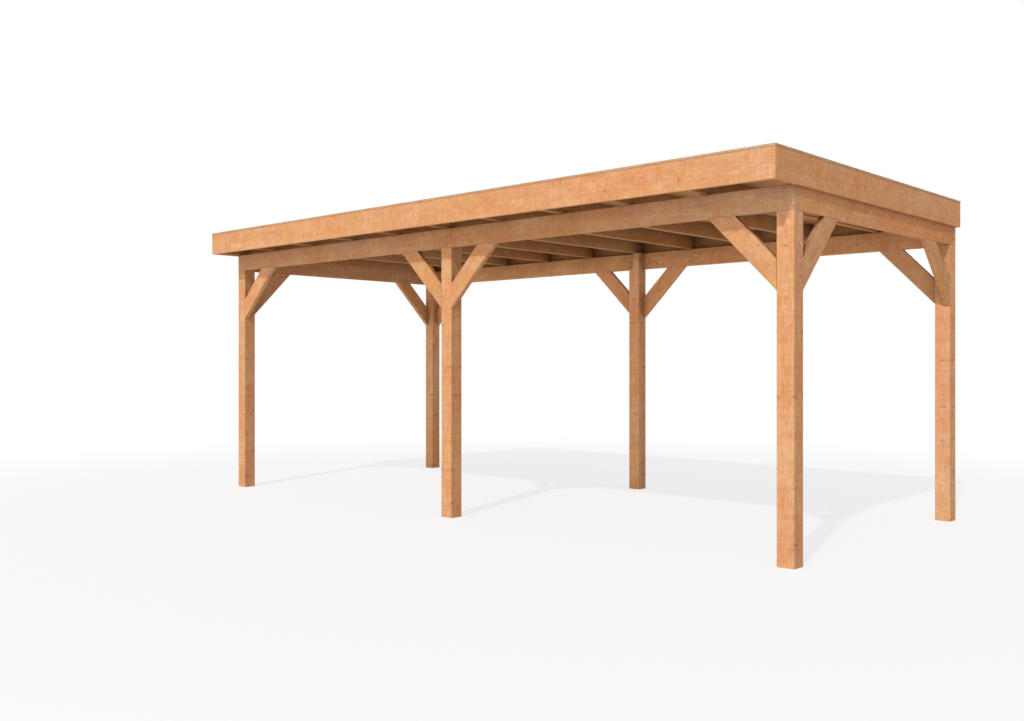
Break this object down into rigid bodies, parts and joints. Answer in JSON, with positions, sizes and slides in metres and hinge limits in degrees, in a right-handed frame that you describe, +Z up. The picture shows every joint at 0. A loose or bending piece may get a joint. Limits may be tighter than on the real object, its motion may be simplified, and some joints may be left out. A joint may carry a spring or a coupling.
{
  "type": "patio cover",
  "caption": "Free-standing flat-roofed timber patio cover on square posts, with plank beams, mitred knee braces, joists reaching past the front, a boarded roof and a deep fascia.",
  "frame": {"origin": "on the ground, under the middle of the roof's outline", "axes": "+X along the length, from left to right seen from the front; +Y from the front to the back; +Z up. The front is the side where the roof reaches further past the posts."},
  "size_m": [6.28, 3.06, 2.59],
  "materials": {
    "post_wood": "planed softwood, unpainted",
    "beam_wood": "planed softwood, unpainted",
    "brace_wood": "planed softwood, unpainted",
    "joist_wood": "planed softwood, unpainted",
    "deck_wood": "tongue and groove softwood, unpainted",
    "fascia_wood": "planed softwood, unpainted",
    "cap_wood": "planed softwood, slightly weathered",
    "membrane": "matte roofing membrane"
  },
  "bodies": {
    "root": {"front_left_post": "post_wood", "front_middle_post": "post_wood", "front_right_post": "post_wood", "back_left_post": "post_wood", "back_middle_post": "post_wood", "back_right_post": "post_wood", "front_beam": "beam_wood", "back_beam": "beam_wood", "left_beam": "beam_wood", "right_beam": "beam_wood", "front_left_brace": "brace_wood", "front_middle_left_brace": "brace_wood", "front_middle_right_brace": "brace_wood", "front_right_brace": "brace_wood", "back_left_brace": "brace_wood", "back_middle_left_brace": "brace_wood", "back_middle_right_brace": "brace_wood", "back_right_brace": "brace_wood", "left_front_brace": "brace_wood", "left_back_brace": "brace_wood", "right_front_brace": "brace_wood", "right_back_brace": "brace_wood", "joist_1": "joist_wood", "joist_2": "joist_wood", "joist_3": "joist_wood", "joist_4": "joist_wood", "joist_5": "joist_wood", "joist_6": "joist_wood", "joist_7": "joist_wood", "joist_8": "joist_wood", "joist_9": "joist_wood", "joist_10": "joist_wood", "joist_11": "joist_wood", "roof_deck": "deck_wood", "kerb_battens": "joist_wood", "roof_membrane": "membrane", "front_fascia": "fascia_wood", "back_fascia": "fascia_wood", "left_fascia": "fascia_wood", "right_fascia": "fascia_wood", "front_cap": "cap_wood", "back_cap": "cap_wood", "left_cap": "cap_wood", "right_cap": "cap_wood"}
  },
  "joints": []
}
